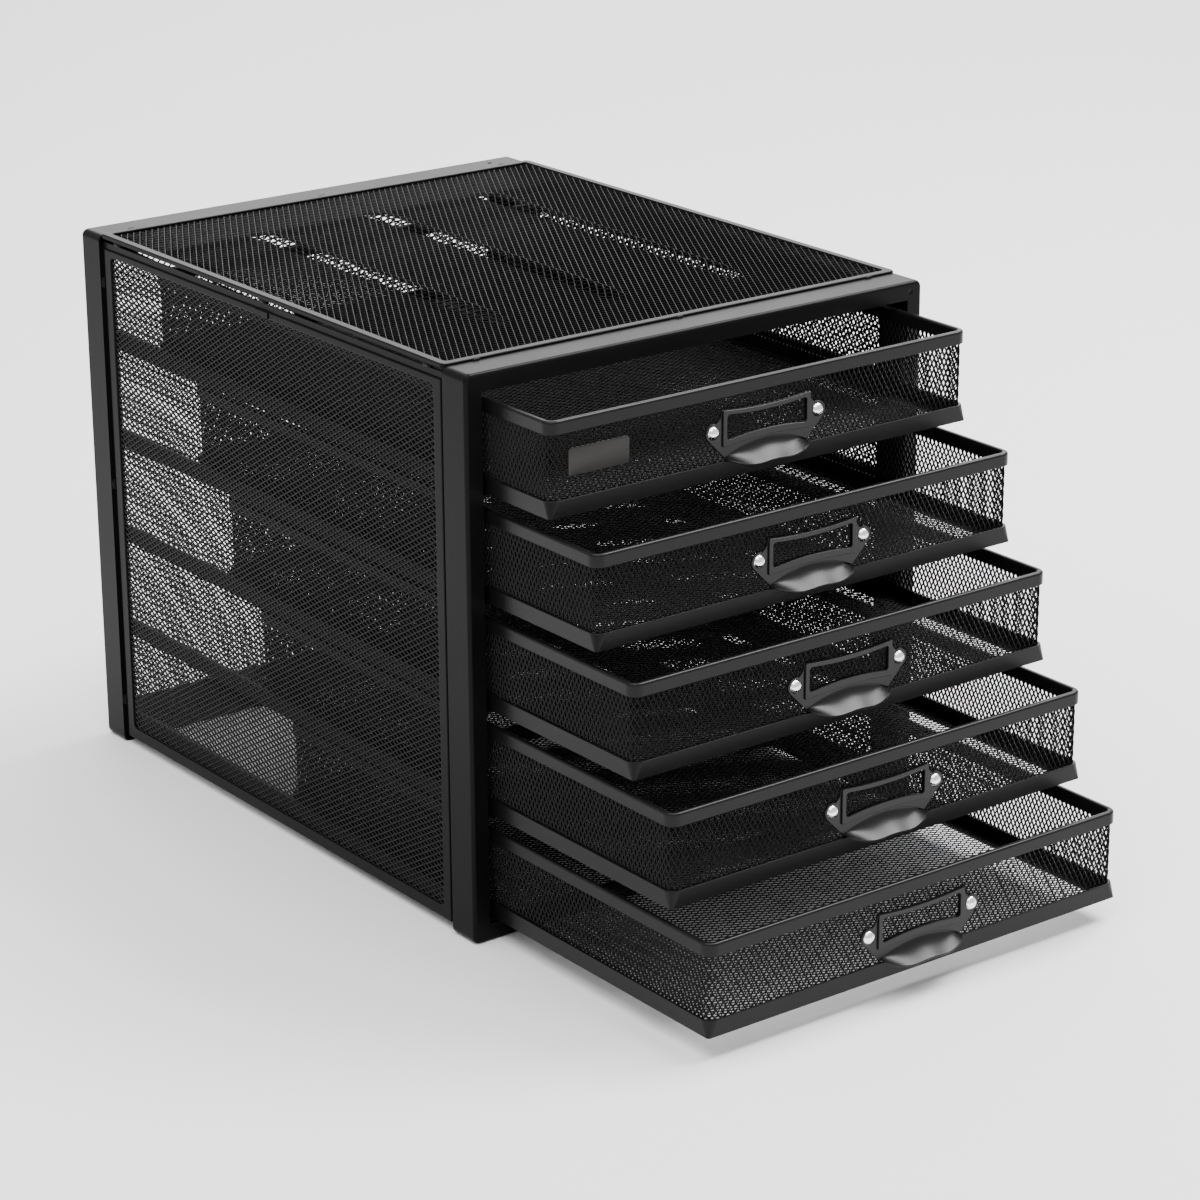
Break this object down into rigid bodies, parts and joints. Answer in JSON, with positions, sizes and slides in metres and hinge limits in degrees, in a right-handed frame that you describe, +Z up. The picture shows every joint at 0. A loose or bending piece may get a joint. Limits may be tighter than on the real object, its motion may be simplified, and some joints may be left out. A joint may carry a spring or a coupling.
{
  "type": "drawer cabinet",
  "caption": "Desktop cabinet of black steel frames and expanded metal mesh with pull-out mesh drawers, each with a label holder and scooped finger pull.",
  "frame": {"origin": "middle of the underside of the front frame, on the table", "axes": "+X to the right seen from the front, +Y from the drawer fronts to the back, +Z up"},
  "size_m": [0.272, 0.5131, 0.2823],
  "materials": {
    "black_frame": "satin black powder coat",
    "black_mesh": "satin black powder coat on expanded metal",
    "black_handle": "semi-gloss black coat",
    "chrome_rivet": "polished"
  },
  "bodies": {
    "cabinet": {"front_frame": "black_frame", "rear_frame": "black_frame", "top_rim": "black_frame", "top_mesh": "black_mesh", "left_hem": "black_frame", "left_mesh": "black_mesh", "right_hem": "black_frame", "right_mesh": "black_mesh", "back_hem": "black_frame", "back_mesh": "black_mesh", "top_welds": "black_frame", "left_welds": "black_frame", "right_welds": "black_frame", "runner_left_1": "black_frame", "runner_right_1": "black_frame", "runner_left_2": "black_frame", "runner_right_2": "black_frame", "runner_left_3": "black_frame", "runner_right_3": "black_frame", "runner_left_4": "black_frame", "runner_right_4": "black_frame", "runner_left_5": "black_frame", "runner_right_5": "black_frame"},
    "drawer_1": {"drawer_1_walls": "black_mesh", "drawer_1_floor": "black_mesh", "drawer_1_rim": "black_frame", "drawer_1_base": "black_frame", "drawer_1_handle": "black_handle", "drawer_1_rivets": "chrome_rivet"},
    "drawer_2": {"drawer_2_walls": "black_mesh", "drawer_2_floor": "black_mesh", "drawer_2_rim": "black_frame", "drawer_2_base": "black_frame", "drawer_2_handle": "black_handle", "drawer_2_rivets": "chrome_rivet"},
    "drawer_3": {"drawer_3_walls": "black_mesh", "drawer_3_floor": "black_mesh", "drawer_3_rim": "black_frame", "drawer_3_base": "black_frame", "drawer_3_handle": "black_handle", "drawer_3_rivets": "chrome_rivet"},
    "drawer_4": {"drawer_4_walls": "black_mesh", "drawer_4_floor": "black_mesh", "drawer_4_rim": "black_frame", "drawer_4_base": "black_frame", "drawer_4_handle": "black_handle", "drawer_4_rivets": "chrome_rivet"},
    "drawer_5": {"drawer_5_walls": "black_mesh", "drawer_5_floor": "black_mesh", "drawer_5_rim": "black_frame", "drawer_5_base": "black_frame", "drawer_5_handle": "black_handle", "drawer_5_rivets": "chrome_rivet"}
  },
  "joints": [
    {"name": "drawer_1_slide", "type": "slide", "parent": "cabinet", "child": "drawer_1", "axis": [0, -1, 0], "range_m": [-0.0467, 0.1933]},
    {"name": "drawer_2_slide", "type": "slide", "parent": "cabinet", "child": "drawer_2", "axis": [0, -1, 0], "range_m": [-0.0804, 0.1596]},
    {"name": "drawer_3_slide", "type": "slide", "parent": "cabinet", "child": "drawer_3", "axis": [0, -1, 0], "range_m": [-0.1071, 0.1329]},
    {"name": "drawer_4_slide", "type": "slide", "parent": "cabinet", "child": "drawer_4", "axis": [0, -1, 0], "range_m": [-0.134, 0.106]},
    {"name": "drawer_5_slide", "type": "slide", "parent": "cabinet", "child": "drawer_5", "axis": [0, -1, 0], "range_m": [-0.1606, 0.0794]}
  ]
}
